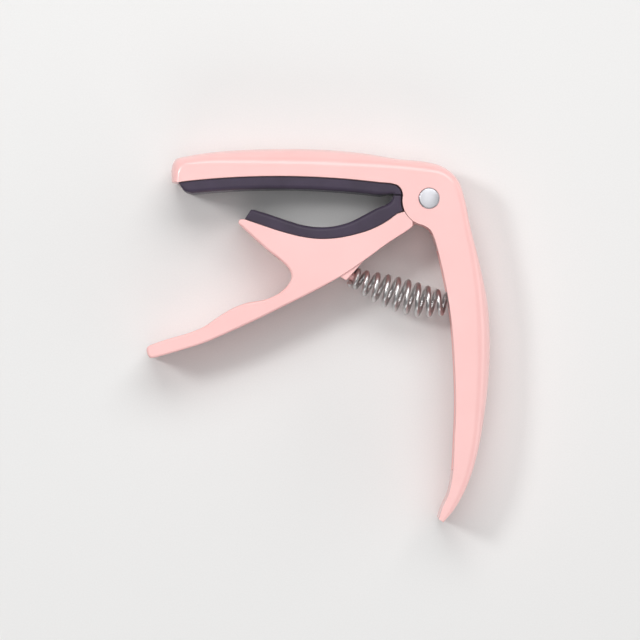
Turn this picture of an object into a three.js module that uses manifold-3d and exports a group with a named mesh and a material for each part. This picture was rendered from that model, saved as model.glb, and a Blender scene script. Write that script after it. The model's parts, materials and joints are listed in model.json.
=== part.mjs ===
// A trigger capo for guitar and ukulele, lying on its side.
//
// Two castings turn on one rivet: the body, whose long jaw presses the strings and whose other end is the
// rear handle, and the lever, whose cradle holds the back of the neck and whose other end is the trigger.
// A barrel spring between the two handles closes the jaws, and both jaws are lined with silicone pads.
//
// The profile is drawn in millimetres about the centre of the hinge boss, with the string jaw reaching
// towards -X and the rear handle towards -Y. It is extruded along Z, from the side that the capo lies on
// (z = 0) to the other (z = WIDTH).

import * as THREE from "three";
import { mergeVertices } from "three/addons/utils/BufferGeometryUtils.js";
import Module from "manifold-3d";

const wasm = await Module();
wasm.setup();

// ---------------------------------------------------------------- driving dimensions

const WIDTH = 15; // both castings, across their flat sides
const MIDDLE = WIDTH / 2;
const FIT = 0.1; // gap between a pad and the casting that holds it

const PIVOT = [0.4, 0.5]; // the rivet's axis, a little behind and above the boss's centre
const BOSS_RADIUS = 6; // the body's cheeks round the pivot
const LEVER_BITE_RADIUS = 6.1; // the lever's shoulders, which turn round the cheeks
const RISER_RADIUS = 6.35; // the end of the neck pad, which turns round them too
const KNUCKLE_RADIUS = 5.4; // the lever's eye, between the cheeks
const KNUCKLE_WIDTH = 7;
const WASHER_THICKNESS = 0.3;
const SIDE_PLAY = 0.05;
const CLEVIS_WIDTH = KNUCKLE_WIDTH + 2 * WASHER_THICKNESS + 4 * SIDE_PLAY;
const CLEVIS_RADIUS = 5.75; // of the room that the knuckle turns in
const SWING_RADIUS = 8.6; // the clevis is open this far round the web's path
const RIVET_RADIUS = 2;
const RIVET_HOLE_RADIUS = 2.06;
const HEAD_RADIUS = 2.5;
const HEAD_SEAT_DEPTH = 0.9;
const HEAD_CROWN = 0.4; // how far the rivet's domed head stands proud

const FRETBOARD_RADIUS = 200; // the string jaw's underside is arched to go with a fretboard
const JAW_CENTRE_X = -36;
const JAW_HEIGHT = 5.85; // the underside's highest point above the boss's centre
const PAD_THICKNESS = 2.75;
const PAD_WIDTH = 14;
const RIB_WIDTH = 5; // each pad has a rib that sits in a groove of its casting
const RIB_HEIGHT = 1.5;
const RIB_ROOT = 0.4; // how far a rib reaches out of its casting, into its pad

const EDGE_ROUND = 2.4; // the body's crowned side starts from its flat sides with this radius
const LAYERS = 8; // steps across the width of the crowned body
const LEVER_EDGE = 0.6; // the lever's edges are rounded off by this much
const HANDLE_WALL = 2.5; // side walls of the hollow handle and trigger
const CHANNEL_WIDTH = WIDTH - 2 * HANDLE_WALL;
const WIRE_DIAMETER = 1.25;
const SPRING_TURNS = 11;
const CLOSED_PITCH = 1.3; // of the first and last turn
const WIRE_START = 0.4; // of a turn, from the side of the coil that faces the pivot
const END_COIL_DIAMETER = 5.15; // over the wire
const BARREL_SWELL = 3.5; // how much wider the middle coil is
const PEG_RADIUS = 1.1; // the spring's end coils sit round a peg at each end

// ---------------------------------------------------------------- curves

const vector = ([x, y]) => new THREE.Vector2(x, y);

/** Points on a smooth curve through the control points, with some steps between each two of them. */
function smooth(controls, steps = 3) {
  const through = controls.map(([x, y]) => new THREE.Vector3(x, y, 0));
  const curve = new THREE.CatmullRomCurve3(through, false, "centripetal");
  return curve.getPoints((controls.length - 1) * steps).map((p) => new THREE.Vector2(p.x, p.y));
}

/** Points on an arc from one angle to another, in degrees. */
function arc(centre, radius, from, to, steps) {
  return Array.from({ length: steps + 1 }, (_, i) => {
    const angle = THREE.MathUtils.degToRad(from + ((to - from) * i) / steps);
    return new THREE.Vector2(centre[0] + radius * Math.cos(angle), centre[1] + radius * Math.sin(angle));
  });
}

/** A circle round the rivet's axis. */
const circle = (radius) => arc(PIVOT, radius, 0, 345, 23);

/** The points moved sideways, to their left, by a distance that may change from the first to the last. */
function offset(points, distance) {
  return points.map((p, i) => {
    const before = points[Math.max(i - 1, 0)];
    const after = points[Math.min(i + 1, points.length - 1)];
    const along = after.clone().sub(before).normalize();
    const by = typeof distance === "function" ? distance(i / (points.length - 1)) : distance;
    return new THREE.Vector2(p.x - along.y * by, p.y + along.x * by);
  });
}

/** The string jaw's underside, or a line parallel to it, from x = from to x = to. */
function fretboardArc(from, to, drop, steps) {
  const radius = FRETBOARD_RADIUS - drop;
  const centre = [JAW_CENTRE_X, JAW_HEIGHT - FRETBOARD_RADIUS];
  const angle = (x) => THREE.MathUtils.radToDeg(Math.acos((x - JAW_CENTRE_X) / radius));
  return arc(centre, radius, angle(from), angle(to), steps);
}

// ---------------------------------------------------------------- solids

/** A three.js geometry as a manifold-3d solid, for cutting and joining. */
function solid(geometry) {
  geometry.deleteAttribute("normal");
  geometry.deleteAttribute("uv");
  const merged = mergeVertices(geometry, 1e-4);
  const vertProperties = merged.getAttribute("position").array;
  return new wasm.Manifold(new wasm.Mesh({ numProp: 3, vertProperties, triVerts: merged.index.array }));
}

/** A flat outline extruded from one height to another. */
function prism(outline, low, high, holes = []) {
  const shape = new THREE.Shape(outline);
  shape.holes = holes.map((hole) => new THREE.Path(hole));
  const geometry = new THREE.ExtrudeGeometry(shape, { depth: high - low, bevelEnabled: false });
  return solid(geometry.translate(0, 0, low));
}

/** A prism centred on the middle of the capo's width. */
const central = (outline, width, holes) => prism(outline, MIDDLE - width / 2, MIDDLE + width / 2, holes);

/** A prism of the whole width whose edges are rounded off. */
function rounded(outline, edge) {
  const bevel = { bevelThickness: edge, bevelSize: edge, bevelOffset: -edge, bevelSegments: 2 };
  const geometry = new THREE.ExtrudeGeometry(new THREE.Shape(outline), { depth: WIDTH - 2 * edge, ...bevel });
  return solid(geometry.translate(0, 0, edge));
}

/** A round bar in the profile's plane, from a point along a direction given in degrees. */
function bar(start, degrees, radius, length) {
  const geometry = new THREE.CylinderGeometry(radius, radius, length, 24).translate(0, length / 2, 0);
  geometry.rotateZ(THREE.MathUtils.degToRad(degrees - 90));
  return solid(geometry.translate(start[0], start[1], MIDDLE));
}

/**
 * A slab that swells out at its side, from `edge` on its flat sides to `ridge` at the middle of its width.
 * The section is a superellipse that leaves the flat sides with a round of the same radius everywhere.
 */
function crownedSlab(edge, ridge, inner) {
  const key = (x, y) => `${x.toFixed(3)} ${y.toFixed(3)}`;
  const swell = new Map(edge.map((p, i) => [key(p.x, p.y), ridge[i].clone().sub(p)]));
  const geometry = new THREE.ExtrudeGeometry(new THREE.Shape([...edge, ...inner]), {
    depth: WIDTH,
    steps: LAYERS,
    bevelEnabled: false,
  });
  const position = geometry.getAttribute("position");
  for (let i = 0; i < position.count; i++) {
    const [x, y] = [position.getX(i), position.getY(i)];
    const even = position.getZ(i) / MIDDLE - 1; // from -1 to 1 across the width
    const height = Math.sign(even) * (1 - (1 - Math.abs(even)) ** 2); // closer together near the flat sides
    position.setZ(i, MIDDLE * (1 + height));
    const out = swell.get(key(x, y));
    if (!out) continue;
    const fullness = Math.max(2, (WIDTH * EDGE_ROUND) / out.lengthSq());
    const crown = Math.sqrt(1 - Math.abs(height) ** fullness);
    position.setXY(i, x + out.x * crown, y + out.y * crown);
  }
  return solid(geometry);
}

// ---------------------------------------------------------------- profile

// The outside of the body, from the jaw's tip over the pivot to the handle's tip. Each pair is a point
// where the flat sides end and the one that the crown swells out to at the middle of the width.
const BODY_OUTSIDE = [
  [[-59.3, 4.4], [-61.5, 4.5]],
  [[-58.8, 6.9], [-61.6, 7.9]],
  [[-57.7, 8.3], [-60.7, 10.0]],
  [[-55.0, 8.5], [-57.0, 11.0]],
  [[-48.4, 8.5], [-48.6, 12.1]],
  [[-38.0, 8.35], [-38.2, 12.6]],
  [[-26.0, 8.05], [-26.0, 12.5]],
  [[-15.5, 7.7], [-15.5, 11.6]],
  [[-6.5, 7.15], [-6.6, 10.1]],
  [[-0.4, 6.5], [-0.5, 9.5]],
  [[3.2, 5.8], [4.0, 8.1]],
  [[5.6, 3.85], [7.4, 5.1]],
  [[7.1, 0.3], [9.0, 0.6]],
  [[8.6, -6.8], [10.5, -6.6]],
  [[10.1, -14.5], [12.5, -14.3]],
  [[11.25, -24.3], [14.6, -24.1]],
  [[11.7, -33.5], [15.25, -33.5]],
  [[11.6, -43.3], [14.85, -43.5]],
  [[11.1, -51.6], [13.8, -52.0]],
  [[10.15, -59.8], [12.3, -60.2]],
  [[8.2, -67.6], [9.8, -68.2]],
  [[5.5, -73.4], [6.6, -74.1]],
  [[3.4, -76.9], [3.8, -77.3]],
];
const HANDLE_INSIDE = [
  [2.7, -76.5], [3.6, -73.8], [5.2, -70.2], [6.0, -66.0], [6.5, -57.3], [6.8, -49.0], [6.5, -39.0],
  [5.9, -30.5], [4.8, -22.5], [3.2, -14.8], [1.7, -9.2], [0.6, -7.0], [-1.04, -5.91],
];
const THROAT = [[-5.87, 1.25], [-6.2, 2.5], [-7.1, 3.6], [-8.8, 4.15]];

// The hollow of the rear handle: its floor, and the side that is open towards the lever.
const HANDLE_FLOOR = [
  [7.6, -12.0], [9.6, -18.5], [10.9, -26.0], [11.5, -34.0], [11.1, -44.0], [10.3, -52.5], [8.9, -61.0],
  [7.9, -65.0],
];
const HANDLE_OPEN = [[2, -65], [2, -20], [-2, -12]];

// The lever, from the cradle's tip to the throat, then along the underside to the trigger's tip, and
// back. The face of the cradle's pad runs above the cradle and turns up the throat.
const CRADLE = [
  [-43.9, -4.5], [-38.7, -6.3], [-34.3, -7.7], [-30.0, -8.75], [-26.4, -9.2], [-22.4, -9.1],
  [-18.3, -8.4], [-13.9, -7.1], [-10.2, -5.3], [-7.3, -3.2],
];
const NECK_FACE = [
  [-42.4, -2.2], [-38.3, -3.45], [-34.2, -4.85], [-30.0, -6.1], [-26.0, -6.6], [-22.2, -6.35],
  [-18.4, -5.3], [-14.8, -3.5], [-11.9, -1.95], [-9.9, -1.2], [-8.6, -0.3], [-7.95, 1.2],
];
const LEVER_UNDERSIDE = [
  [-3.55, -6.2], [-4.4, -6.9], [-9.6, -10.3], [-15.2, -14.4], [-20.9, -18.2], [-26.0, -21.1],
  [-33.4, -24.8], [-40.7, -28.4], [-48.1, -31.8], [-54.0, -34.3], [-58.7, -35.8], [-65.2, -37.7],
  [-66.6, -37.8], [-67.3, -36.8], [-67.4, -35.4], [-66.6, -34.7],
];
const LEVER_TOP = [
  [-62.8, -33.4], [-57.3, -31.8], [-53.5, -30.2], [-50.3, -28.0], [-47.0, -26.0], [-43.5, -24.6],
  [-39.5, -23.9], [-36.2, -22.6], [-33.8, -20.6], [-32.7, -18.6], [-33.1, -16.8], [-34.8, -14.8],
  [-38.7, -11.7], [-41.6, -9.1], [-44.5, -6.4], [-45.5, -5.2], [-45.0, -4.6],
];

// The hollow of the trigger: its floor, and the side that is open on the trigger's underside.
const TRIGGER_FLOOR = [
  [-61.5, -35.4], [-56.5, -33.9], [-52.0, -31.6], [-47.5, -28.6], [-42.5, -26.8], [-37.5, -25.5],
  [-33.0, -22.4], [-29.6, -17.5], [-27.5, -14.3], [-25.0, -13.4], [-23.5, -14.5],
];
const TRIGGER_OPEN = [[-23.5, -24], [-40, -33], [-60, -41]];

// The web that joins the lever to its knuckle between the cheeks.
const WEB = [
  [-4.8, 0.8], [-5.6, -1.9], [-5.65, -2.8], [-9, -5.2], [-6, -7.4], [-3.6, -6.1], [-1.2, -4.6], PIVOT,
];

// The string pad's end that turns down the throat, its tip, and from where to where its rib's groove runs.
const PAD_THROAT = [[-8.9, 4.0], [-7.3, 3.45], [-6.45, 2.4], [-6.2, 1.4]];
const PAD_END = [[-8.0, 1.4], [-8.1, 1.65]];
const PAD_TIP = [[-58.2, 1.9]];
const JAW_GROOVE = [-56, -14];

// The spring's centre line, from its seat on the lever to its seat in the handle, as a Bezier curve's
// points.
const SPRING_LINE = [[-17.97, -18.24], [-7.5, -23.0], [0.5, -25.1], [7.3, -24.6]];

// The wedge under the lever and the block in the handle's hollow that the spring pushes on, and their pegs.
const LEVER_SEAT = {
  wedge: [[-15.2, -14.4], [-17.0, -12.5], [-22.3, -17.4], [-19.5, -19.15]],
  width: 13.8,
  peg: [-18.46, -18.02],
  degrees: -24,
  reach: 2,
};
const HANDLE_SEAT = { block: [6, 7.5], peg: [7.97, -24.55], degrees: 184, reach: 2 };

// ---------------------------------------------------------------- body

/** The outline between two lines that run side by side, such as a rib's or its groove's. */
const strip = (line, opposite) => [...line, ...opposite.slice().reverse()];

function bodySolid() {
  const edge = smooth(BODY_OUTSIDE.map(([flat]) => flat));
  const ridge = smooth(BODY_OUTSIDE.map(([, crest]) => crest));
  const inside = [
    ...smooth(HANDLE_INSIDE),
    ...arc([0, 0], BOSS_RADIUS, 255, 173, 10),
    ...smooth(THROAT),
    ...fretboardArc(-11.5, -58.9, 0, 15),
  ];
  return crownedSlab(edge, ridge, inside)
    .subtract(clevisSlot())
    .subtract(handleChannel())
    .subtract(rivetHole())
    .subtract(central(strip(...ribLines(RIB_HEIGHT + FIT, 0.5)), RIB_WIDTH + 2 * FIT))
    .add(peg(HANDLE_SEAT, 1));
}

/** A seat's round peg, which the end coils sit round, with a root that reaches back into the casting. */
function peg(seat, root) {
  const back = bar(seat.peg, seat.degrees + 180, PEG_RADIUS, root);
  return bar(seat.peg, seat.degrees, PEG_RADIUS, seat.reach).add(back);
}

/** The slot for the lever's knuckle, open towards the throat and the spring so that the web can swing. */
function clevisSlot() {
  const swing = [vector(PIVOT), ...arc(PIVOT, SWING_RADIUS, 178, 285, 12)];
  return central(circle(CLEVIS_RADIUS), CLEVIS_WIDTH).add(central(swing, CLEVIS_WIDTH));
}

/** The hollow of the rear handle, with a solid block left for the spring to push on. */
function handleChannel() {
  const outline = [...smooth(HANDLE_FLOOR), ...HANDLE_OPEN.map(vector)];
  const [length, height] = HANDLE_SEAT.block;
  const block = new THREE.BoxGeometry(length, height, WIDTH).translate(length / 2, 0, MIDDLE);
  block.rotateZ(THREE.MathUtils.degToRad(HANDLE_SEAT.degrees - 180));
  return central(outline, CHANNEL_WIDTH).subtract(solid(block.translate(...HANDLE_SEAT.peg, 0)));
}

function rivetHole() {
  const seat = circle(HEAD_RADIUS + FIT);
  return prism(circle(RIVET_HOLE_RADIUS), 0, WIDTH)
    .add(prism(seat, 0, HEAD_SEAT_DEPTH))
    .add(prism(seat, WIDTH - HEAD_SEAT_DEPTH, WIDTH));
}

// ---------------------------------------------------------------- lever

function leverSolid() {
  const bite = arc([0, 0], LEVER_BITE_RADIUS, 206, 234, 4);
  const outline = [...smooth(CRADLE), ...bite, ...smooth(LEVER_UNDERSIDE, 2), ...LEVER_TOP.map(vector)];
  const channel = central([...smooth(TRIGGER_FLOOR), ...TRIGGER_OPEN.map(vector)], CHANNEL_WIDTH);
  return rounded(outline, LEVER_EDGE)
    .add(central(WEB.map(vector), KNUCKLE_WIDTH))
    .add(central(circle(KNUCKLE_RADIUS), KNUCKLE_WIDTH))
    .add(central(LEVER_SEAT.wedge.map(vector), LEVER_SEAT.width))
    .add(peg(LEVER_SEAT, 2))
    .subtract(channel)
    .subtract(central(strip(...cradleRibLines(RIB_HEIGHT + FIT, 0.5)), RIB_WIDTH + 2 * FIT))
    .subtract(central(circle(RIVET_HOLE_RADIUS), WIDTH));
}

// ---------------------------------------------------------------- pads

/** The foot of the string pad's rib and its top, `height` deep in the jaw, `inset` from the groove's ends. */
function ribLines(height, below, inset = 0) {
  const [from, to] = [JAW_GROOVE[0] + inset, JAW_GROOVE[1] - inset];
  return [fretboardArc(from, to, below, 14), fretboardArc(from, to, -height, 14)];
}

function upperPadSolid() {
  const top = fretboardArc(-59.8, -11.5, FIT, 15);
  const face = fretboardArc(-11.5, -59.5, PAD_THICKNESS + FIT, 15).slice(0, -1);
  const end = [...smooth(PAD_THROAT), ...PAD_END.map(vector)];
  const pad = central([...top, ...end, ...face, ...PAD_TIP.map(vector)], PAD_WIDTH);
  return pad.add(central(strip(...ribLines(RIB_HEIGHT, RIB_ROOT, FIT)), RIB_WIDTH));
}

/** The top of the neck pad's rib and its foot, `height` deep in the lever, `inset` from the groove's ends. */
function cradleRibLines(height, above, inset = 0) {
  const [first, ...rest] = smooth(CRADLE).slice(5, 25);
  const last = rest.pop();
  const line = [first.lerp(rest[0], inset), ...rest, last.lerp(rest.at(-1), inset)];
  return [offset(line, above), offset(line, -height)];
}

function lowerPadSolid() {
  const riser = arc([0, 0], RISER_RADIUS, 203, 169, 8);
  const pad = central(strip([...offset(smooth(CRADLE), FIT), ...riser], smooth(NECK_FACE)), PAD_WIDTH);
  return pad.add(central(strip(...cradleRibLines(RIB_HEIGHT, RIB_ROOT, FIT)), RIB_WIDTH));
}

// ---------------------------------------------------------------- rivet and washers

function rivetGeometry() {
  const head = WIDTH - HEAD_SEAT_DEPTH + SIDE_PLAY;
  const foot = HEAD_SEAT_DEPTH - SIDE_PLAY;
  const profile = [
    [0, 0.1], [HEAD_RADIUS - 0.3, 0.1], [HEAD_RADIUS, 0.4], [HEAD_RADIUS, foot], [RIVET_RADIUS, foot],
    [RIVET_RADIUS, head], [HEAD_RADIUS, head], [HEAD_RADIUS, WIDTH - 0.1], [HEAD_RADIUS - 0.5, WIDTH + 0.2],
    [HEAD_RADIUS / 2, WIDTH + HEAD_CROWN - 0.05], [0, WIDTH + HEAD_CROWN],
  ];
  return new THREE.LatheGeometry(profile.map(vector), 32).rotateX(Math.PI / 2).translate(...PIVOT, 0);
}

function washerSolid() {
  return prism(circle(KNUCKLE_RADIUS - 0.4), 0, WASHER_THICKNESS, [circle(RIVET_HOLE_RADIUS + 0.1)]);
}

// ---------------------------------------------------------------- spring

/** The wire of a barrel spring with closed ends, wound round a curved centre line. */
class SpringWire extends THREE.Curve {
  constructor() {
    super();
    this.line = new THREE.CubicBezierCurve(...SPRING_LINE.map(vector));
    this.length = this.line.getLength();
  }

  /** How far along the centre line the wire is after some turns. */
  advance(turn) {
    const open = (this.length - 2 * CLOSED_PITCH) / (SPRING_TURNS - 2);
    if (turn < 1) return CLOSED_PITCH * turn;
    if (turn > SPRING_TURNS - 1) return this.length - CLOSED_PITCH * (SPRING_TURNS - turn);
    return CLOSED_PITCH + open * (turn - 1);
  }

  getPoint(t, target = new THREE.Vector3()) {
    const turn = t * SPRING_TURNS;
    const reach = this.advance(turn);
    const u = THREE.MathUtils.clamp(reach / this.length, 0, 1);
    const open = THREE.MathUtils.clamp((reach - CLOSED_PITCH) / (this.length - 2 * CLOSED_PITCH), 0, 1);
    const centre = this.line.getPointAt(u);
    const along = this.line.getTangentAt(u);
    const radius = (END_COIL_DIAMETER - WIRE_DIAMETER + BARREL_SWELL * Math.sin(Math.PI * open)) / 2;
    const angle = 2 * Math.PI * (turn + WIRE_START);
    const side = radius * Math.cos(angle);
    const height = radius * Math.sin(angle);
    return target.set(centre.x - along.y * side, centre.y + along.x * side, MIDDLE + height);
  }
}

function springGeometry() {
  const section = new THREE.Shape(arc([0, 0], WIRE_DIAMETER / 2, 0, 300, 5));
  const along = { extrudePath: new SpringWire(), steps: 15 * SPRING_TURNS, bevelEnabled: false };
  return new THREE.ExtrudeGeometry(section, along);
}

// ---------------------------------------------------------------- assembly

const paint = new THREE.MeshStandardMaterial({ color: 0xfccfcd, roughness: 0.35, metalness: 0 });
const silicone = new THREE.MeshStandardMaterial({ color: 0x2e2a33, roughness: 0.6, metalness: 0 });
const steel = new THREE.MeshStandardMaterial({ color: 0xc8c8cc, roughness: 0.2, metalness: 1 });
const nylon = new THREE.MeshStandardMaterial({ color: 0xe8e4da, roughness: 0.5, metalness: 0 });

/** A named mesh of a solid or of a geometry. */
function piece(name, shape, material, height = 0) {
  let geometry = shape;
  if (!shape.isBufferGeometry) {
    const { vertProperties, triVerts } = shape.getMesh();
    geometry = new THREE.BufferGeometry();
    geometry.setAttribute("position", new THREE.BufferAttribute(vertProperties, 3));
    geometry.setIndex(new THREE.BufferAttribute(triVerts, 1));
    geometry.computeVertexNormals();
  }
  const mesh = new THREE.Mesh(geometry, material);
  mesh.name = name;
  mesh.position.z = height;
  return mesh;
}

const lowWasher = MIDDLE - CLEVIS_WIDTH / 2 + SIDE_PLAY;
const highWasher = MIDDLE + CLEVIS_WIDTH / 2 - SIDE_PLAY - WASHER_THICKNESS;

const frame = new THREE.Group();
frame.add(
  piece("jaw_and_handle_body", bodySolid(), paint),
  piece("string_pad", upperPadSolid(), silicone),
  piece("pivot_rivet", rivetGeometry(), steel),
  piece("pivot_washer_lower", washerSolid(), nylon, lowWasher),
  piece("pivot_washer_upper", washerSolid(), nylon, highWasher),
  piece("barrel_spring", springGeometry(), steel),
);

const lever = new THREE.Group();
lever.add(piece("trigger_lever", leverSolid(), paint), piece("neck_pad", lowerPadSolid(), silicone));

const capo = new THREE.Group();
capo.add(frame, lever);

// The part's origin is under the middle of its outline, on the surface that it lies on.
const middle = new THREE.Box3().setFromObject(capo).getCenter(new THREE.Vector3());
for (const group of [frame, lever]) group.position.set(-middle.x, -middle.y, 0);

export default capo;
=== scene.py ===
"""A pink trigger capo lying on its side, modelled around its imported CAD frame.

Outlines are drawn in millimetres about the centre of the hinge boss, with the string jaw reaching
towards -X and the rear handle towards -Y. Heights run along Z from the side that the capo lies on.
Every piece is built like this and is then carried into the frame's metres, where the hinge joint
gives the rivet's axis.
"""

import json
import math

import bmesh
import bpy
from mathutils import Matrix, Vector
from mathutils.geometry import interpolate_bezier


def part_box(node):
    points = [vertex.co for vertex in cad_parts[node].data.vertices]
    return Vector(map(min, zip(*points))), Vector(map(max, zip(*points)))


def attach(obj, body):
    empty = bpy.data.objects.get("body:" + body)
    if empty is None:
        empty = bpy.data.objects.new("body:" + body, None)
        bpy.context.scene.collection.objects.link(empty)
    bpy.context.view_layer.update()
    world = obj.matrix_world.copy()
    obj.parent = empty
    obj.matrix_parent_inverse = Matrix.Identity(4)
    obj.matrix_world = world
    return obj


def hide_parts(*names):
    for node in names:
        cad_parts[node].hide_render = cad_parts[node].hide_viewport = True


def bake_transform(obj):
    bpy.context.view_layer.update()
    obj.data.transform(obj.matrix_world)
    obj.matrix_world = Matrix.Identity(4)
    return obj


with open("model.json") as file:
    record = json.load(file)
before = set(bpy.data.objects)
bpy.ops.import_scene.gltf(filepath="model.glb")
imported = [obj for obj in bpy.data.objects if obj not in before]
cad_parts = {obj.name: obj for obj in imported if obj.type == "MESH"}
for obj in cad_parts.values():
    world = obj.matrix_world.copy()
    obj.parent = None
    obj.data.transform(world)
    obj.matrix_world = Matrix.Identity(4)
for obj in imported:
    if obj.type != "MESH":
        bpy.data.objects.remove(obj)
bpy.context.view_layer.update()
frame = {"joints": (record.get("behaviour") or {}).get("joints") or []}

# ---------------------------------------------------------------- sizes, in millimetres

MM = 0.001
BODY_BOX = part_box("jaw_and_handle_body")
WIDTH = (BODY_BOX[1].z - BODY_BOX[0].z) / MM
MIDDLE = WIDTH / 2
HINGE = Vector(frame["joints"][0]["pos_m"])  # a point of the rivet's axis, in metres
PIVOT = Vector((0.4, 0.5))  # the rivet's axis, from the centre of the boss
FROM_PIVOT = Matrix.Translation((-PIVOT.x, -PIVOT.y, 0))
TO_FRAME = Matrix.Translation((HINGE.x, HINGE.y, 0)) @ Matrix.Scale(MM, 4) @ FROM_PIVOT

RIVET_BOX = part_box("pivot_rivet")
HEAD_RADIUS = (RIVET_BOX[1].x - RIVET_BOX[0].x) / MM / 2
SEAT_DEPTH = 0.9  # of the heads' seats, from the flat sides
HEAD_DEPTH = 0.85  # of the heads' inner faces, from the flat sides
RIVET_RADIUS = 2.0
HOLE_RADIUS = 2.06
WASHER_BOXES = {name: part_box(name) for name in ("pivot_washer_lower", "pivot_washer_upper")}
WASHER_BOX = WASHER_BOXES["pivot_washer_lower"]
WASHER_RADIUS = (WASHER_BOX[1].x - WASHER_BOX[0].x) / MM / 2
KNUCKLE_RADIUS = WASHER_RADIUS + 0.4
KNUCKLE_WIDTH = 7.0
CLEVIS_WIDTH = 7.8
CLEVIS_RADIUS = 5.75
SLOT_ROOT = 3.0  # where the slot for the web starts, inside the room for the knuckle
SLOT_SWEEP = range(178, 286, 3)  # degrees round the rivet's axis
SWING_RADIUS = 8.6
BOSS_RADIUS = 6.0
LEVER_BITE_RADIUS = 6.1
RISER_RADIUS = 6.35

JAW_CENTRE_X = -36.0  # where the jaw's arched underside is highest
JAW_HEIGHT = 5.85  # of the underside there
JAW_START = -11.5  # the end of the arched underside near the throat
JAW_END = -58.9  # its end near the tip
FRETBOARD_RADIUS = 200.0
PAD_FIT = 0.1
PAD_THICKNESS = 2.75
PAD_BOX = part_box("string_pad")
PAD_LOW = PAD_BOX[0].z / MM
PAD_HIGH = PAD_BOX[1].z / MM
PAD_EDGE = 0.8  # the radius that a pad's face ends in
PAD_BULGE = 0.3  # how far a pad's face swells out
PAD_BACK_END = -59.8  # the string pad's two ends near the jaw's tip
PAD_FACE_END = -56.5
RIB_WIDTH = 5.0
RIB_HEIGHT = 1.5
RIB_ROOT = 0.3  # how deep a rib's root is buried in its pad
GROOVE_REACH = 0.5  # how far a groove's cutter reaches out of its casting
JAW_GROOVE = (-56, -14)  # where along X it runs
CRADLE_GROOVE = (10, 49)  # which points of the smoothed cradle it runs between

EDGE_ROUND = 2.4  # the body's crowned side starts from its flat sides with this radius
HANDLE_WALL = 2.5
CHANNEL_WIDTH = WIDTH - 2 * HANDLE_WALL
MOUTH_FLARE = 0.3  # the bevel along a channel's edges
MOUTH_DEPTH = 1.0  # how far the bevel's cutter reaches out of the channel
HANDLE_MOUTH = (-64.9, -12.1)  # where along Y the bevel runs
TRIGGER_MOUTH = (-61.0, -23.6)  # where along X the bevel runs

WIRE_DIAMETER = 1.25
SPRING_TURNS = 11
CLOSED_PITCH = 1.3
WIRE_START = 0.4  # of a turn, from the side of the coil that faces the pivot
END_COIL_DIAMETER = 5.15  # over the wire
BARREL_SWELL = 3.5  # how much wider the middle coil is
PEG_RADIUS = 1.1

FINE = 6  # steps between two controls of an outline

# ---------------------------------------------------------------- outlines

# The outside of the body from the jaw's tip to the handle's tip: a point where the flat sides end,
# and the one that the crown swells out to at the middle of the width.
BODY_OUTSIDE = [
    ((-59.3, 4.4), (-61.5, 4.5)),
    ((-58.8, 6.9), (-61.6, 7.9)),
    ((-57.7, 8.3), (-60.7, 10.0)),
    ((-55.0, 8.5), (-57.0, 11.0)),
    ((-48.4, 8.5), (-48.6, 12.1)),
    ((-38.0, 8.35), (-38.2, 12.6)),
    ((-26.0, 8.05), (-26.0, 12.5)),
    ((-15.5, 7.7), (-15.5, 11.6)),
    ((-6.5, 7.15), (-6.6, 10.1)),
    ((-0.4, 6.5), (-0.5, 9.5)),
    ((3.2, 5.8), (4.0, 8.1)),
    ((5.6, 3.85), (7.4, 5.1)),
    ((7.1, 0.3), (9.0, 0.6)),
    ((8.6, -6.8), (10.5, -6.6)),
    ((10.1, -14.5), (12.5, -14.3)),
    ((11.25, -24.3), (14.6, -24.1)),
    ((11.7, -33.5), (15.25, -33.5)),
    ((11.6, -43.3), (14.85, -43.5)),
    ((11.1, -51.6), (13.8, -52.0)),
    ((10.15, -59.8), (12.3, -60.2)),
    ((8.2, -67.6), (9.8, -68.2)),
    ((5.5, -73.4), (6.6, -74.1)),
    ((3.4, -76.9), (3.8, -77.3)),
]
HANDLE_INSIDE = [
    (2.7, -76.5), (3.6, -73.8), (5.2, -70.2), (6.0, -66.0), (6.5, -57.3), (6.8, -49.0), (6.5, -39.0),
    (5.9, -30.5), (4.8, -22.5), (3.2, -14.8), (1.7, -9.2), (0.6, -7.0), (-1.04, -5.91),
]
THROAT = [(-5.87, 1.25), (-6.2, 2.5), (-7.1, 3.6), (-8.8, 4.15)]
HANDLE_FLOOR = [
    (7.6, -12.0), (9.6, -18.5), (10.9, -26.0), (11.5, -34.0), (11.1, -44.0), (10.3, -52.5),
    (8.9, -61.0), (7.9, -65.0),
]
HANDLE_OPEN = [(2.0, -65.0), (2.0, -20.0), (-2.0, -12.0)]

# The lever, from the cradle's tip to the throat, then along the underside to the trigger's tip,
# and back on top.
CRADLE = [
    (-43.9, -4.5), (-38.7, -6.3), (-34.3, -7.7), (-30.0, -8.75), (-26.4, -9.2), (-22.4, -9.1),
    (-18.3, -8.4), (-13.9, -7.1), (-10.2, -5.3), (-7.3, -3.2),
]
LEVER_UNDERSIDE = [
    (-3.55, -6.2), (-4.4, -6.9), (-9.6, -10.3), (-15.2, -14.4), (-20.9, -18.2), (-26.0, -21.1),
    (-33.4, -24.8), (-40.7, -28.4), (-48.1, -31.8), (-54.0, -34.3), (-58.7, -35.8), (-65.2, -37.7),
]
TRIGGER_TIP = [(-65.2, -37.7), (-66.6, -37.8), (-67.3, -36.8), (-67.4, -35.4), (-66.6, -34.7)]
LEVER_TOP = [
    (-66.6, -34.7), (-62.8, -33.4), (-57.3, -31.8), (-53.5, -30.2), (-50.3, -28.0), (-47.0, -26.0),
    (-43.5, -24.6), (-39.5, -23.9), (-36.2, -22.6), (-33.8, -20.6), (-32.7, -18.6), (-33.1, -16.8),
    (-34.8, -14.8), (-38.7, -11.7), (-41.6, -9.1), (-44.5, -6.4),
]
CRADLE_TIP = [(-44.5, -6.4), (-45.4, -5.4), (-45.1, -4.6), (-43.9, -4.5)]
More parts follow.
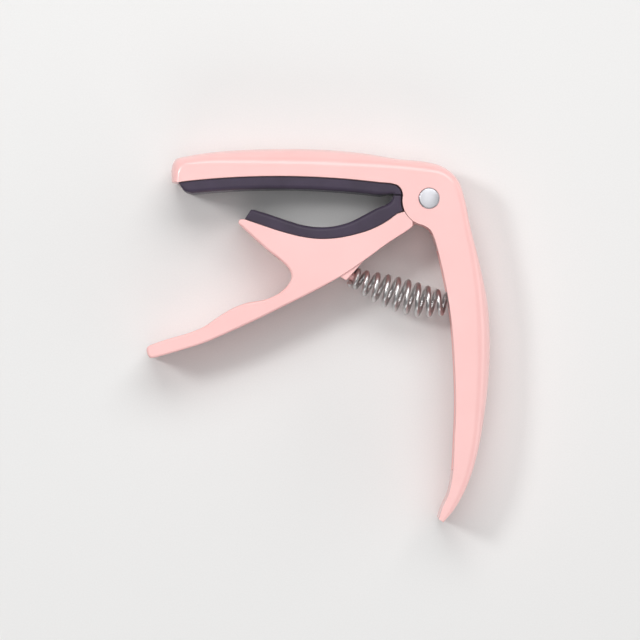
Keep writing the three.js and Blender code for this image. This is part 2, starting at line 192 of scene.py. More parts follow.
TRIGGER_FLOOR = [
    (-61.5, -35.4), (-56.5, -33.9), (-52.0, -31.6), (-47.5, -28.6), (-42.5, -26.8), (-37.5, -25.5),
    (-33.0, -22.4), (-29.6, -17.5), (-27.5, -14.3), (-25.0, -13.4), (-23.5, -14.5),
]
TRIGGER_OPEN = [(-23.5, -24.0), (-40.0, -33.0), (-60.0, -41.0)]
WEB = [
    (-4.8, 0.8), (-5.6, -1.9), (-5.65, -2.8), (-9.0, -5.2), (-6.0, -7.4), (-3.6, -6.1),
    (-1.2, -4.6), PIVOT,
]

# The neck pad's face, which touches the guitar, and the string pad's two ends: one turns down the
# throat, and the other is at the jaw's tip.
NECK_FACE = [
    (-42.4, -2.2), (-38.3, -3.45), (-34.2, -4.85), (-30.0, -6.1), (-26.0, -6.6), (-22.2, -6.35),
    (-18.4, -5.3), (-14.8, -3.5), (-11.9, -1.95), (-9.9, -1.2), (-8.6, -0.3), (-7.95, 1.2),
]
PAD_THROAT = [(-8.9, 4.0), (-7.3, 3.45), (-6.45, 2.4), (-6.2, 1.4)]
PAD_END = [(-8.0, 1.4), (-8.1, 1.65)]
PAD_TIP = [(-57.6, 1.95), (-58.5, 2.35), (-59.2, 3.4)]

# The spring's centre line, as a Bezier curve, and the two seats that it pushes on.
SPRING_LINE = [(-17.97, -18.24), (-7.5, -23.0), (0.5, -25.1), (7.3, -24.6)]
LEVER_SEAT = {
    "wedge": [(-15.2, -14.4), (-17.0, -12.5), (-22.3, -17.4), (-19.5, -19.15)],
    "width": 13.8,
    "peg": (-18.46, -18.02),
    "degrees": -24,
    "reach": 2.0,
}
HANDLE_SEAT = {"block": (6.0, 7.5), "peg": (7.97, -24.55), "degrees": 184, "reach": 2.0}

# ---------------------------------------------------------------- curves


def smooth(controls, steps=FINE):
    """Points on a centripetal Catmull-Rom curve, with some steps between each two controls."""
    points = [Vector(control) for control in controls]
    points = [2 * points[0] - points[1], *points, 2 * points[-1] - points[-2]]
    line = []
    for p0, p1, p2, p3 in zip(points, points[1:], points[2:], points[3:]):
        d0, d1, d2 = (math.sqrt((b - a).length) for a, b in ((p0, p1), (p1, p2), (p2, p3)))
        leave = ((p1 - p0) / d0 - (p2 - p0) / (d0 + d1) + (p2 - p1) / d1) * d1
        arrive = ((p2 - p1) / d1 - (p3 - p1) / (d1 + d2) + (p3 - p2) / d2) * d1
        line += interpolate_bezier(p1, p1 + leave / 3, p2 - arrive / 3, p2, steps + 1)[:-1]
    return [*line, points[-2]]


def arc(centre, radius, start, stop, steps):
    """Points on an arc from one angle to another, in degrees."""
    angles = [math.radians(start + (stop - start) * i / steps) for i in range(steps + 1)]
    return [Vector(centre) + radius * Vector((math.cos(a), math.sin(a))) for a in angles]


def fretboard_arc(start, stop, drop, steps=48):
    """The string jaw's arched underside, or a line parallel to it, from one x to another."""
    radius = FRETBOARD_RADIUS - drop
    centre = Vector((JAW_CENTRE_X, JAW_HEIGHT - FRETBOARD_RADIUS))
    first, last = (math.degrees(math.acos((x - JAW_CENTRE_X) / radius)) for x in (start, stop))
    return arc(centre, radius, first, last, steps)


def sideways(points, distance):
    """The points moved to the left of the way that they run."""
    moved = []
    for i, point in enumerate(points):
        along = points[min(i + 1, len(points) - 1)] - points[max(i - 1, 0)]
        moved.append(point + Vector((-along.y, along.x)).normalized() * distance)
    return moved


# ---------------------------------------------------------------- solids


def stack(name, rings, closed=False):
    """A closed mesh of rings with as many points each, joined in turn, with a flat face at both ends."""
    count = len(rings[0])
    vertices = [point for ring in rings for point in ring]
    pairs = [(k, k + 1) for k in range(len(rings) - 1)]
    if closed:
        pairs.append((len(rings) - 1, 0))
    faces = []
    for low, high in pairs:
        for i in range(count):
            j = (i + 1) % count
            faces.append((low * count + i, low * count + j, high * count + j, high * count + i))
    if not closed:
        faces.append(tuple(reversed(range(count))))
        faces.append(tuple(range(len(vertices) - count, len(vertices))))
    mesh = bpy.data.meshes.new(name)
    mesh.from_pydata(vertices, [], faces)
    work = bmesh.new()
    work.from_mesh(mesh)
    bmesh.ops.recalc_face_normals(work, faces=work.faces)
    work.to_mesh(mesh)
    work.free()
    piece = bpy.data.objects.new(name, mesh)
    bpy.context.collection.objects.link(piece)
    return piece


def prism(outline, low, high):
    """A plain cutter or block: an outline between two heights."""
    return stack("cutter", [[(p[0], p[1], z) for p in outline] for z in (low, high)])


def central(outline, width):
    """A prism about the middle of the capo's width."""
    return prism(outline, MIDDLE - width / 2, MIDDLE + width / 2)


def turned(name, profile, origin=(PIVOT.x, PIVOT.y, 0), axis=(0, 0, 1), sides=64, closed=False):
    """A body of revolution. Its profile's points are a radius and a distance along the axis."""
    axis = Vector(axis).normalized()
    across = axis.orthogonal().normalized()
    beside = axis.cross(across)
    turns = [2 * math.pi * i / sides for i in range(sides)]
    rings = []
    for radius, along in profile:
        centre = Vector(origin) + axis * along
        rings.append([centre + radius * (across * math.cos(a) + beside * math.sin(a)) for a in turns])
    return stack(name, rings, closed)


def in_plane(degrees):
    """A direction in the profile's plane."""
    angle = math.radians(degrees)
    return Vector((math.cos(angle), math.sin(angle), 0))


def bake_modifiers(piece):
    """Makes what the piece's modifiers do a part of its mesh."""
    now = piece.evaluated_get(bpy.context.evaluated_depsgraph_get())
    mesh = bpy.data.meshes.new_from_object(now)
    piece.modifiers.clear()
    piece.data = mesh


def combine(piece, other, operation):
    """Cuts a closed mesh out of the piece, or joins it on, and removes it."""
    change = piece.modifiers.new(operation, "BOOLEAN")
    change.operation = operation
    change.solver = "EXACT"
    change.object = other
    bake_modifiers(piece)
    bpy.data.objects.remove(other)


def cut(piece, *cutters):
    """Cuts each of the cutters out of the piece."""
    for cutter in cutters:
        combine(piece, cutter, "DIFFERENCE")


def join(piece, *others):
    """Joins each of the others to the piece."""
    for other in others:
        combine(piece, other, "UNION")


def stretch(points, edges, swells=None):
    """Part of an outline: its points, the radius of its rounded edges, and how far it swells out."""
    if not isinstance(edges, list):
        edges = [edges] * len(points)
    swells = swells or [Vector((0, 0))] * len(points)
    return [(Vector(point), edge, swell) for point, edge, swell in zip(points, edges, swells)]


def outward(points):
    """The way out of a closed outline at each point, longer in corners to keep offset sides parallel."""
    count = len(points)
    area = sum(points[i - 1].cross(points[i]) for i in range(count))
    side = 1 if area > 0 else -1
    found = []
    for i in range(count):
        before = (points[i] - points[i - 1]).normalized()
        after = (points[(i + 1) % count] - points[i]).normalized()
        normals = [Vector((d.y, -d.x)) * side for d in (before, after)]
        middle = (normals[0] + normals[1]).normalized()
        found.append(middle / max(middle.dot(normals[0]), 0.6))
    return found


def fitted_edges(points, normals, edges):
    """Edge radii eased into each other, and no larger than the thickness behind each point allows."""
    facing, share = 0.7, 0.36  # how nearly straight behind a point counts, and how much may be used
    count = len(points)
    fitted = []
    for point, normal, edge in zip(points, normals, edges):
        gaps = [other - point for other in points]
        behind = [gap.length for gap in gaps if gap.dot(normal) < -facing * gap.length]
        fitted.append(min(edge, share * min(behind, default=math.inf)))
    for _ in range(4):
        fitted = [(fitted[i - 1] + fitted[i] + fitted[(i + 1) % count]) / 3 for i in range(count)]
    return fitted


def slab(name, outline, low=0.0, high=WIDTH, fullness=None, steps=36):
    """A thick plate of an outline, with rounded edges and sides that swell out to mid-width.

    A side that swells out has the section of a superellipse. Where its fullness isn't given, it
    leaves the flat sides with the same radius everywhere.
    """
    points = [point for point, _, _ in outline]
    normals = outward(points)
    edges = fitted_edges(points, normals, [edge for _, edge, _ in outline])
    half = (high - low) / 2
    rings = []
    for step in range(steps + 1):
        even = 2 * step / steps - 1
        height = math.copysign(1 - (1 - abs(even)) ** 2, even)  # closer together near the flat sides
        depth = half * (1 - abs(height))
        ring = []
        for (point, _, swell), normal, edge in zip(outline, normals, edges):
            inset = edge - math.sqrt(edge**2 - max(edge - depth, 0) ** 2)
            full = fullness or max(2, 2 * half * EDGE_ROUND / max(swell.length_squared, 0.01))
            at = point - normal * inset + swell * math.sqrt(1 - abs(height) ** full)
            ring.append((at.x, at.y, low + half * (1 + height)))
        rings.append(ring)
    return stack(name, rings)


def hollow(floor, opening):
    """A cutter for the hollow of a handle, whose floor runs into its walls in a round."""
    outline = [*stretch(smooth(floor), 0.9), *stretch(opening, 0.05)]
    return slab("cutter", outline, MIDDLE - CHANNEL_WIDTH / 2, MIDDLE + CHANNEL_WIDTH / 2, steps=16)


def mouth(line):
    """A cutter that bevels both edges of a channel where it opens through a surface, along a line."""
    half, past = CHANNEL_WIDTH / 2, 0.02
    side = [
        (-MOUTH_FLARE - past, half - past),
        (0.0, half + MOUTH_FLARE),
        (MOUTH_DEPTH, half + MOUTH_FLARE),
    ]
    section = [(out, MIDDLE + z) for out, z in side]
    section += [(out, MIDDLE - z) for out, z in reversed(side)]
    rings = []
    for inner, outer in zip(line, sideways(line, 1.0)):
        out = outer - inner
        rings.append([(inner.x + out.x * n, inner.y + out.y * n, z) for n, z in section])
    return stack("cutter", rings)


def settle(piece, material, slot, body, *nodes, sharp=38):
    """Carries a piece into the frame, and gives it its finish, its body and its CAD nodes. The slot is
    not used.
    """
    tiny = 0.002
    work = bmesh.new()
    work.from_mesh(piece.data)
    bmesh.ops.remove_doubles(work, verts=work.verts, dist=tiny)
    bmesh.ops.dissolve_degenerate(work, edges=work.edges, dist=tiny)
    bmesh.ops.recalc_face_normals(work, faces=work.faces)
    work.to_mesh(piece.data)
    work.free()
    piece.data.transform(TO_FRAME)
    piece.data.shade_smooth()
    piece.data.set_sharp_from_angle(angle=math.radians(sharp))
    piece.data.materials.clear()
    piece.data.materials.append(material)
    weigh = piece.modifiers.new("even shading", "WEIGHTED_NORMAL")
    weigh.keep_sharp = True
    bake_modifiers(piece)
    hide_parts(*nodes)
    if body:
        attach(piece, body)
    return piece


# ---------------------------------------------------------------- materials

DARKER, LIGHTER = 0.3, 0.7  # most of a texture's values lie between these


def new_material(name, colour, roughness, metallic=0.0):
    """A material with a Principled shader, its nodes, and coordinates that are fixed to the piece.

    Its colour and roughness are what it has wherever its textures aren't shown.
    """
    made = bpy.data.materials.new(name)
    made.use_nodes = True
    nodes, links = made.node_tree.nodes, made.node_tree.links
    shader = nodes["Principled BSDF"]
    shader.inputs["Base Color"].default_value = (*colour, 1)
    shader.inputs["Roughness"].default_value = roughness
    shader.inputs["Metallic"].default_value = metallic
    place = nodes.new("ShaderNodeTexCoord")
    return made, nodes, links, shader, place


def noise(nodes, links, vector, size_mm, detail=3.0):
    """A noise whose features are about a size in millimetres."""
    made = nodes.new("ShaderNodeTexNoise")
    made.inputs["Scale"].default_value = 1 / (size_mm * MM)
    made.inputs["Detail"].default_value = detail
    links.new(vector, made.inputs["Vector"])
    return made.outputs["Fac"]


def vary(nodes, links, value, low, high):
    """A value that is one number where a texture is dark and another where it is light."""
    made = nodes.new("ShaderNodeMapRange")
    made.inputs["From Min"].default_value = DARKER
    made.inputs["From Max"].default_value = LIGHTER
    made.inputs["To Min"].default_value = low
    made.inputs["To Max"].default_value = high
    links.new(value, made.inputs["Value"])
    return made.outputs["Result"]


def tint(nodes, links, value, dark, light):
    """A colour between two, following a texture."""
    made = nodes.new("ShaderNodeValToRGB")
    made.color_ramp.elements[0].position = DARKER
    made.color_ramp.elements[0].color = (*dark, 1)
    made.color_ramp.elements[1].position = LIGHTER
    made.color_ramp.elements[1].color = (*light, 1)
    links.new(value, made.inputs["Fac"])
    return made.outputs["Color"]


def bump(nodes, links, value, height_um, under=None):
    """A relief of a height in micrometres, on top of another one where it is given."""
    made = nodes.new("ShaderNodeBump")
    made.inputs["Strength"].default_value = 1.0
    made.inputs["Distance"].default_value = height_um * MM * MM
    links.new(value, made.inputs["Height"])
    if under:
        links.new(under, made.inputs["Normal"])
    return made.outputs["Normal"]


def paint():
    """Pale pink enamel, satin with a clear gloss over it, and the faint ripple of a sprayed coat."""
    made, nodes, links, shader, place = new_material("pink enamel", (0.88, 0.515, 0.495), 0.34)
    vector = place.outputs["Object"]
    cloud = noise(nodes, links, vector, 14)
    peel = noise(nodes, links, vector, 0.9, 2)
    grain = noise(nodes, links, vector, 0.12, 2)
    colour = tint(nodes, links, cloud, (0.865, 0.50, 0.48), (0.895, 0.53, 0.51))
    links.new(colour, shader.inputs["Base Color"])
    links.new(vary(nodes, links, peel, 0.30, 0.38), shader.inputs["Roughness"])
    relief = bump(nodes, links, grain, 1.0, under=bump(nodes, links, peel, 3.0))
    links.new(relief, shader.inputs["Normal"])
    shader.inputs["Coat Weight"].default_value = 0.5
    shader.inputs["Coat Roughness"].default_value = 0.18
    return made


def silicone():
    """Near-black silicone rubber with a violet cast and a fine moulded grain."""
    made, nodes, links, shader, place = new_material("dark silicone", (0.030, 0.017, 0.042), 0.55)
    vector = place.outputs["Object"]
    cloud = noise(nodes, links, vector, 6)
    grain = noise(nodes, links, vector, 0.15, 4)
    colour = tint(nodes, links, cloud, (0.024, 0.013, 0.034), (0.037, 0.022, 0.051))
    links.new(colour, shader.inputs["Base Color"])
    links.new(vary(nodes, links, grain, 0.48, 0.64), shader.inputs["Roughness"])
    links.new(bump(nodes, links, grain, 6.0), shader.inputs["Normal"])
    shader.inputs["Sheen Weight"].default_value = 0.15
    shader.inputs["Sheen Roughness"].default_value = 0.5
    return made


def turned_steel():
    """Bright turned steel, with the fine rings of the tool round the rivet's axis."""
    made, nodes, links, shader, place = new_material("turned steel", (0.54, 0.54, 0.57), 0.34, 1.0)
    centred = nodes.new("ShaderNodeMapping")
    centred.inputs["Location"].default_value = (-HINGE.x, -HINGE.y, 0)
    links.new(place.outputs["Object"], centred.inputs["Vector"])
    rings = nodes.new("ShaderNodeTexWave")
    rings.wave_type = "RINGS"
    rings.rings_direction = "Z"
    rings.inputs["Scale"].default_value = 1 / (0.5 * MM)
    rings.inputs["Distortion"].default_value = 0.6
    links.new(centred.outputs["Vector"], rings.inputs["Vector"])
    scuff = noise(nodes, links, place.outputs["Object"], 0.6, 4)
    links.new(vary(nodes, links, scuff, 0.30, 0.40), shader.inputs["Roughness"])
    links.new(bump(nodes, links, rings.outputs["Fac"], 0.4), shader.inputs["Normal"])
    colour = tint(nodes, links, scuff, (0.52, 0.52, 0.55), (0.56, 0.56, 0.59))
    links.new(colour, shader.inputs["Base Color"])
    return made


def nylon():
    """Milky nylon with a fine moulded grain."""
    made, nodes, links, shader, place = new_material("milky nylon", (0.80, 0.77, 0.69), 0.5)
    cloud = noise(nodes, links, place.outputs["Object"], 1.5)
    colour = tint(nodes, links, cloud, (0.77, 0.74, 0.66), (0.83, 0.80, 0.73))
    links.new(colour, shader.inputs["Base Color"])
    grain = noise(nodes, links, place.outputs["Object"], 0.2)
    links.new(bump(nodes, links, grain, 4.0), shader.inputs["Normal"])
    return made


def plated_wire():
    """Nickel-plated spring wire with the faint lengthwise lines of drawing.

    Its map runs along and round the wire.
    """
    made, nodes, links, shader, place = new_material("plated wire", (0.58, 0.57, 0.565), 0.30, 1.0)
    drawn = nodes.new("ShaderNodeMapping")
    drawn.inputs["Scale"].default_value = (2, 40, 1)
    links.new(place.outputs["UV"], drawn.inputs["Vector"])
    texture = nodes.new("ShaderNodeTexNoise")
    texture.inputs["Scale"].default_value = 1.0
    texture.inputs["Detail"].default_value = 3.0
    links.new(drawn.outputs["Vector"], texture.inputs["Vector"])
    lines = texture.outputs["Fac"]
    links.new(vary(nodes, links, lines, 0.26, 0.34), shader.inputs["Roughness"])
    colour = tint(nodes, links, lines, (0.54, 0.53, 0.525), (0.62, 0.61, 0.605))
    links.new(colour, shader.inputs["Base Color"])
    links.new(bump(nodes, links, lines, 0.1), shader.inputs["Normal"])
    return made


def floor_finish():
    """Smooth pale card with a faint grain."""
    made, nodes, links, shader, place = new_material("pale card", (0.76, 0.755, 0.745), 0.7)
    grain = noise(nodes, links, place.outputs["Object"], 0.4, 4)
    colour = tint(nodes, links, grain, (0.75, 0.745, 0.735), (0.77, 0.765, 0.755))
    links.new(colour, shader.inputs["Base Color"])
    return made


# ---------------------------------------------------------------- body


def body_outline():
    """The crowned outside, the handle's inside, the boss, the throat and the jaw's underside."""
    edge = smooth([flat for flat, _ in BODY_OUTSIDE])
    ridge = smooth([crest for _, crest in BODY_OUTSIDE])
    return [
        *stretch(edge, 0.0, [crest - flat for flat, crest in zip(edge, ridge)]),
        *stretch(smooth(HANDLE_INSIDE), 0.15),
        *stretch(arc((0, 0), BOSS_RADIUS, 255, 173, 24)[1:], 0.06),
        *stretch(smooth(THROAT, 5), 0.2),
        *stretch(fretboard_arc(JAW_START, JAW_END, 0), 0.2),
    ]


def clevis_cutters():
    """Cutters for the knuckle's room, and for the web's slot, bevelled where it leaves the boss."""
    low, high = MIDDLE - CLEVIS_WIDTH / 2, MIDDLE + CLEVIS_WIDTH / 2
    bevel_start, bevel_end, bevel = BOSS_RADIUS + 0.15, BOSS_RADIUS + 0.55, 0.35
    upper = [
        (SLOT_ROOT, high), (bevel_start, high), (bevel_end, high + bevel), (SWING_RADIUS, high + bevel),
    ]
    lower = [
        (SLOT_ROOT, low), (bevel_start, low), (bevel_end, low - bevel), (SWING_RADIUS, low - bevel),
    ]
    section = upper + lower[::-1]
    rings = []
    for degrees in SLOT_SWEEP:
        out = in_plane(degrees)
        rings.append([(PIVOT.x + out.x * r, PIVOT.y + out.y * r, z) for r, z in section])
    knuckle_room = turned("cutter", [(CLEVIS_RADIUS, low), (CLEVIS_RADIUS, high)], sides=96)
    return knuckle_room, stack("cutter", rings)


def rivet_hole():
    """A cutter for the hole through both cheeks, with a seat for each head and an eased edge."""
    seat, ease = HEAD_RADIUS + 0.03, 0.08
    return turned("cutter", [
        (seat + 3 * ease, -2 * ease), (seat + ease, 0.0), (seat, ease), (seat, SEAT_DEPTH),
        (HOLE_RADIUS, SEAT_DEPTH), (HOLE_RADIUS, WIDTH - SEAT_DEPTH), (seat, WIDTH - SEAT_DEPTH),
        (seat, WIDTH - ease), (seat + ease, WIDTH), (seat + 3 * ease, WIDTH + 2 * ease),
    ])


def handle_channel():
    """A cutter for the rear handle's hollow that leaves a block for the spring to push on."""
    channel = hollow(HANDLE_FLOOR, HANDLE_OPEN)
    along = in_plane(HANDLE_SEAT["degrees"] + 180)
    across = Vector((-along.y, along.x, 0))
    face = Vector((*HANDLE_SEAT["peg"], 0))
    length, height = HANDLE_SEAT["block"]
    sides = ((0, -0.5), (1, -0.5), (1, 0.5), (0, 0.5))
    corners = [face + along * length * a + across * height * b for a, b in sides]
    cut(channel, prism(corners, -1, WIDTH + 1))
    return channel


def jaw_groove(height, below, inset, width):
    """The groove for the string pad's rib, or the rib itself."""
    start, stop = JAW_GROOVE[0] + inset, JAW_GROOVE[1] - inset
    foot = fretboard_arc(start, stop, below)
    top = fretboard_arc(start, stop, -height)
    return central([*foot, *top[::-1]], width)


def peg(seat, root):
    """A seat's round peg with its rounded end, and a root that reaches back into the casting."""
    turns = [math.pi / 2 * i / 4 for i in range(5)]
    ease, reach = 0.35 * PEG_RADIUS, seat["reach"]
    tip = [(PEG_RADIUS - ease * (1 - math.cos(a)), reach - ease * (1 - math.sin(a))) for a in turns]
    profile = [(PEG_RADIUS, -root), *tip]
    origin, axis = (*seat["peg"], MIDDLE), in_plane(seat["degrees"])
    return turned("peg", profile, origin=origin, axis=axis, sides=40)


def make_body(finish):
    """The casting with the string jaw and the rear handle."""
    body = slab("capo_body", body_outline())
    opening = [p for p in smooth(HANDLE_INSIDE) if HANDLE_MOUTH[0] < p.y < HANDLE_MOUTH[1]]
    cut(body, *clevis_cutters(), rivet_hole(), handle_channel(), mouth(opening))
    cut(body, jaw_groove(RIB_HEIGHT + PAD_FIT, GROOVE_REACH, 0, RIB_WIDTH + 2 * PAD_FIT))
    join(body, peg(HANDLE_SEAT, 1.0))
    return settle(body, finish, "paint", "body", "jaw_and_handle_body")


# ---------------------------------------------------------------- lever


def lever_outline():
    """The cradle, the bite round the boss, the underside, the trigger's tip, and back on top."""
    bite = arc((0, 0), LEVER_BITE_RADIUS, 206, 234, 10)
    underside = smooth(LEVER_UNDERSIDE)
    return [
        *stretch(smooth(CRADLE), 0.25),
        *stretch(bite, 0.06),
        *stretch(underside, [0.25 if p.x > -24 else 0.5 for p in underside]),
        *stretch(smooth(TRIGGER_TIP, 4)[1:-1], 0.6),
        *stretch(smooth(LEVER_TOP), 0.6),
        *stretch(smooth(CRADLE_TIP, 4)[1:-1], 0.4),
    ]


def cradle_groove(height, above, inset, width):
    """The groove for the neck pad's rib, or the rib itself."""
    line = smooth(CRADLE)[CRADLE_GROOVE[0] + inset : CRADLE_GROOVE[1] - inset]
    return central([*sideways(line, above), *sideways(line, -height)[::-1]], width)


def make_lever(finish):
    """The casting with the cradle and the trigger, and the knuckle that turns on the rivet."""
    lever = slab("capo_lever", lever_outline(), steps=24)
    margin = (WIDTH - LEVER_SEAT["width"]) / 2
    join(
        lever,
        central(WEB, KNUCKLE_WIDTH),
        turned("knuckle", [
            (KNUCKLE_RADIUS, MIDDLE - KNUCKLE_WIDTH / 2), (KNUCKLE_RADIUS, MIDDLE + KNUCKLE_WIDTH / 2),
        ], sides=96),
        slab("wedge", stretch(LEVER_SEAT["wedge"], 0.15), margin, WIDTH - margin, steps=24),
        peg(LEVER_SEAT, 2.0),
    )
    opening = [p for p in smooth(LEVER_UNDERSIDE) if TRIGGER_MOUTH[0] < p.x < TRIGGER_MOUTH[1]]
    cut(lever, hollow(TRIGGER_FLOOR, TRIGGER_OPEN), mouth(opening[::-1]))
    cut(lever, cradle_groove(RIB_HEIGHT + PAD_FIT, GROOVE_REACH, 0, RIB_WIDTH + 2 * PAD_FIT))
    cut(lever, turned("cutter", [(HOLE_RADIUS, 0), (HOLE_RADIUS, WIDTH)]))
    return settle(lever, finish, "paint", "lever", "trigger_lever")


# ---------------------------------------------------------------- pads


def make_string_pad(finish):
    """The pad under the string jaw, held by a rib. Its inner end turns down the throat."""
    face = fretboard_arc(JAW_START, PAD_FACE_END, PAD_THICKNESS + PAD_FIT)
    bulge = [Vector((0, -PAD_BULGE))] * len(face)
    outline = [
        *stretch(fretboard_arc(PAD_BACK_END, JAW_START, PAD_FIT), 0.15),
        *stretch(smooth(PAD_THROAT), 0.15),
        *stretch(PAD_END, 0.5),
        *stretch(face, PAD_EDGE, bulge),
        *stretch(smooth(PAD_TIP, 4), PAD_EDGE),
    ]
    pad = slab("string_pad_moulding", outline, PAD_LOW, PAD_HIGH, fullness=4, steps=24)
    join(pad, jaw_groove(RIB_HEIGHT, PAD_FIT + RIB_ROOT, PAD_FIT, RIB_WIDTH))
    settle(pad, finish, "pad_silicone", "body", "string_pad")


def make_neck_pad(finish):
    """The pad in the cradle, held by a rib. Its inner end turns up along the boss."""
    face = smooth(NECK_FACE)
    runs = [after - before for before, after in zip(face, face[1:])]
    bulge = [run.orthogonal().normalized() * PAD_BULGE for run in runs]
    outline = [
        *stretch(sideways(smooth(CRADLE), PAD_FIT), 0.15),
        *stretch(arc((0, 0), RISER_RADIUS, 203, 169, 12), 0.15),
        *stretch(face[:0:-1], PAD_EDGE, bulge[::-1]),
        *stretch(face[:1], PAD_EDGE),
    ]
    pad = slab("neck_pad_moulding", outline, PAD_LOW, PAD_HIGH, fullness=4, steps=24)
    join(pad, cradle_groove(RIB_HEIGHT, PAD_FIT + RIB_ROOT, 1, RIB_WIDTH))
    settle(pad, finish, "pad_silicone", "lever", "neck_pad")


# ---------------------------------------------------------------- rivet, washers and spring


def make_rivet(finish):
    """A rivet with a low dome on one side and a set tail, hollowed in the middle, on the other."""
    rise = (RIVET_BOX[1].z / MM) - WIDTH
    ease = 0.35
    brim, foot = HEAD_RADIUS - ease, WIDTH - 0.1
    turns = [math.pi / 2 * i / 5 for i in range(6)]
    dome = [(brim + ease * math.cos(a), foot + (rise - 0.1) * math.sin(a)) for a in turns]
    dome += [(brim * r, WIDTH + rise - 0.2 * r**2) for r in (0.8, 0.6, 0.4, 0.2, 0.02)]
    tail = [
        (0.05, 0.6), (0.9, 0.6), (1.25, 0.45), (1.5, 0.15), (1.75, 0.1), (2.2, 0.1),
        (HEAD_RADIUS, 0.4),
    ]
    shank = [
        (HEAD_RADIUS, HEAD_DEPTH), (RIVET_RADIUS, HEAD_DEPTH),
        (RIVET_RADIUS, WIDTH - HEAD_DEPTH), (HEAD_RADIUS, WIDTH - HEAD_DEPTH),
    ]
    rivet = turned("pivot_rivet_turned", [*tail, *shank, *dome])
    settle(rivet, finish, "rivet_steel", "body", "pivot_rivet", sharp=30)


def make_washers(finish):
    """A thin washer on each side of the knuckle, with eased edges."""
    for name, (low, high) in WASHER_BOXES.items():
        bottom, top, ease = low.z / MM, high.z / MM, 0.08
        hole = HOLE_RADIUS + 0.1
        washer = turned(name + "_turned", [
            (hole, bottom), (WASHER_RADIUS - ease, bottom), (WASHER_RADIUS, bottom + ease),
            (WASHER_RADIUS, top - ease), (WASHER_RADIUS - ease, top), (hole, top),
        ], closed=True)
        settle(washer, finish, "washer_nylon", "body", name)


def spring_centre_line():
    """The centre line's points, and how far along it each of them is."""
    line = interpolate_bezier(*[Vector(p) for p in SPRING_LINE], 400)
    far = [0.0]
    for before, after in zip(line, line[1:]):
        far.append(far[-1] + (after - before).length)
    return line, far


def advance(turn, length):
    """How far along the centre line the wire is after some turns."""
    open_pitch = (length - 2 * CLOSED_PITCH) / (SPRING_TURNS - 2)
    if turn < 1:
        return CLOSED_PITCH * turn
    if turn > SPRING_TURNS - 1:
        return length - CLOSED_PITCH * (SPRING_TURNS - turn)
    return CLOSED_PITCH + open_pitch * (turn - 1)


def wire_path(line, far):
    """The middle of the wire: a closed turn at each end, and open, wider ones between them."""
    length = far[-1]
    steps = SPRING_TURNS * 48  # 48 to a turn
    path, spot = [], 0
    for i in range(steps + 1):
        turn = SPRING_TURNS * i / steps
        reach = advance(turn, length)
        while spot < len(line) - 2 and far[spot + 1] < reach:
            spot += 1
        along = (line[spot + 1] - line[spot]).normalized()
        centre = line[spot] + along * (reach - far[spot])
        opened = min(max((reach - CLOSED_PITCH) / (length - 2 * CLOSED_PITCH), 0), 1)
        swell = BARREL_SWELL * math.sin(math.pi * opened)
        radius = (END_COIL_DIAMETER - WIRE_DIAMETER + swell) / 2
        angle = 2 * math.pi * (turn + WIRE_START)
        side, height = radius * math.cos(angle), radius * math.sin(angle)
        path.append(Vector((centre.x - along.y * side, centre.y + along.x * side, MIDDLE + height)))
    return path


def make_spring(finish):
    """A barrel spring between the body's peg and the lever's, built in one fixed shape."""
    line, far = spring_centre_line()
    spring = tube("coil_spring", wire_path(line, far), WIRE_DIAMETER / 2, 16)
    settle(spring, finish, "spring_steel", None, "barrel_spring", sharp=50)
    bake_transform(spring)


def tube(name, path, radius, sides):
    """A round wire along a path, with eased ends, and a map that runs along it and round it."""
    rings, across = [], Vector((0, 0, 1))
    last = len(path) - 1
    for i, point in enumerate(path):
        along = (path[min(i + 1, last)] - path[max(i - 1, 0)]).normalized()
        across = (across - along * across.dot(along)).normalized()
        beside = along.cross(across)
        turns = [2 * math.pi * k / sides for k in range(sides)]
        width = radius * (0.82 if i in (0, last) else 1)
        rings.append([point + width * (across * math.cos(a) + beside * math.sin(a)) for a in turns])
    wire = stack(name, rings)
    layer = wire.data.uv_layers.new(name="along and round")
    for loop in wire.data.loops:
        ring, k = divmod(loop.vertex_index, sides)
        layer.data[loop.index].uv = (ring / 16, k / sides)
    return wire


# ---------------------------------------------------------------- stage


def make_floor(finish):
    """A plain pale floor under the capo."""
    mesh = bpy.data.meshes.new("floor")
    reach = 3  # metres each way
    corners = [(-reach, -reach, 0), (reach, -reach, 0), (reach, reach, 0), (-reach, reach, 0)]
    mesh.from_pydata(corners, [], [(0, 1, 2, 3)])
    mesh.materials.append(finish)
    floor = bpy.data.objects.new("floor", mesh)
    bpy.context.collection.objects.link(floor)


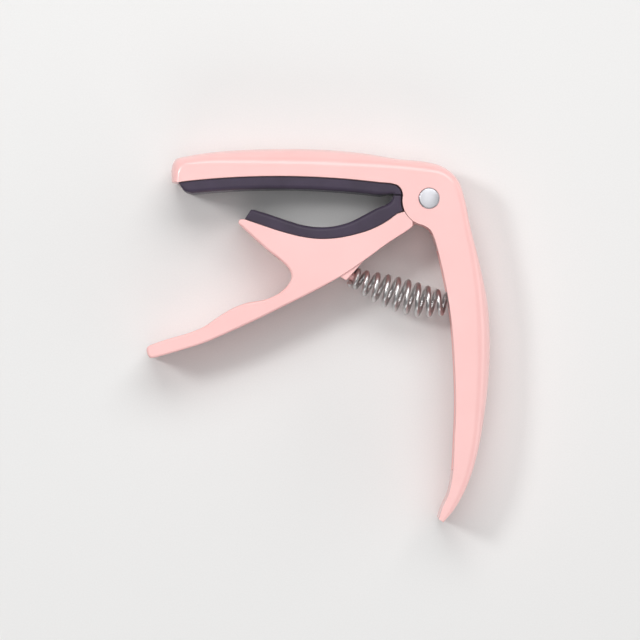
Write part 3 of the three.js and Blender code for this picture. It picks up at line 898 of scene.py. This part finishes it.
def softbox(name, place, size, glow):
    """A soft light panel that faces the capo. Its glow is how bright it looks: white paper is 1."""
    light = bpy.data.lights.new(name, "AREA")
    light.shape = "RECTANGLE"
    light.size, light.size_y = size
    light.energy = glow * math.pi * light.size * light.size_y
    lamp = bpy.data.objects.new(name, light)
    lamp.location = place
    lamp.rotation_euler = (-Vector(place)).to_track_quat("-Z", "Y").to_euler()
    bpy.context.collection.objects.link(lamp)


def make_sky():
    """A dim, even studio. Where the camera sees it directly, it is as pale as the floor."""
    sky = bpy.data.worlds.new("studio")
    sky.use_nodes = True
    nodes, links = sky.node_tree.nodes, sky.node_tree.links
    background = nodes["Background"]
    seen = nodes.new("ShaderNodeLightPath")
    pale = nodes.new("ShaderNodeMix")
    pale.data_type = "RGBA"
    pale.inputs["A"].default_value = (0.19, 0.19, 0.195, 1)
    pale.inputs["B"].default_value = (0.8, 0.8, 0.79, 1)
    links.new(seen.outputs["Is Camera Ray"], pale.inputs["Factor"])
    links.new(pale.outputs["Result"], background.inputs["Color"])
    bpy.context.scene.world = sky


def make_lights():
    """A light overhead, a key behind the jaw, a small bright one at the left, and two weaker ones."""
    softbox("overhead", (0.0, 0.0, 1.25), (0.8, 0.8), 1.55)
    softbox("key", (0.10, 0.66, 0.78), (1.0, 0.5), 4.1)
    softbox("left fill", (-0.624, 0.277, 0.761), (0.2, 0.2), 24.0)
    softbox("front fill", (0.0, -0.85, 0.45), (0.9, 0.35), 1.8)
    softbox("right fill", (1.0, -0.10, 0.20), (1.6, 0.45), 2.0)
    make_sky()
    bpy.context.scene.view_settings.view_transform = "Standard"


def make_camera():
    """Straight above the capo, with a long lens and the string jaw at the top of the picture."""
    aim = Vector((0.000305, 0.003625, WIDTH * MM))  # the middle of the picture
    across = 0.1536  # the picture's width at the height of the capo's upper side
    distance = 1.0
    camera = bpy.data.objects.new("camera", bpy.data.cameras.new("camera"))
    camera.data.lens = camera.data.sensor_width * distance / across
    camera.data.clip_start = 0.01
    camera.location = aim + Vector((0, 0, distance))
    bpy.context.collection.objects.link(camera)
    bpy.context.scene.camera = camera


# ---------------------------------------------------------------- the capo

make_camera()
enamel, rubber = paint(), silicone()
make_body(enamel)
make_lever(enamel)
make_string_pad(rubber)
make_neck_pad(rubber)
make_rivet(turned_steel())
make_washers(nylon())
make_spring(plated_wire())
make_floor(floor_finish())
make_lights()
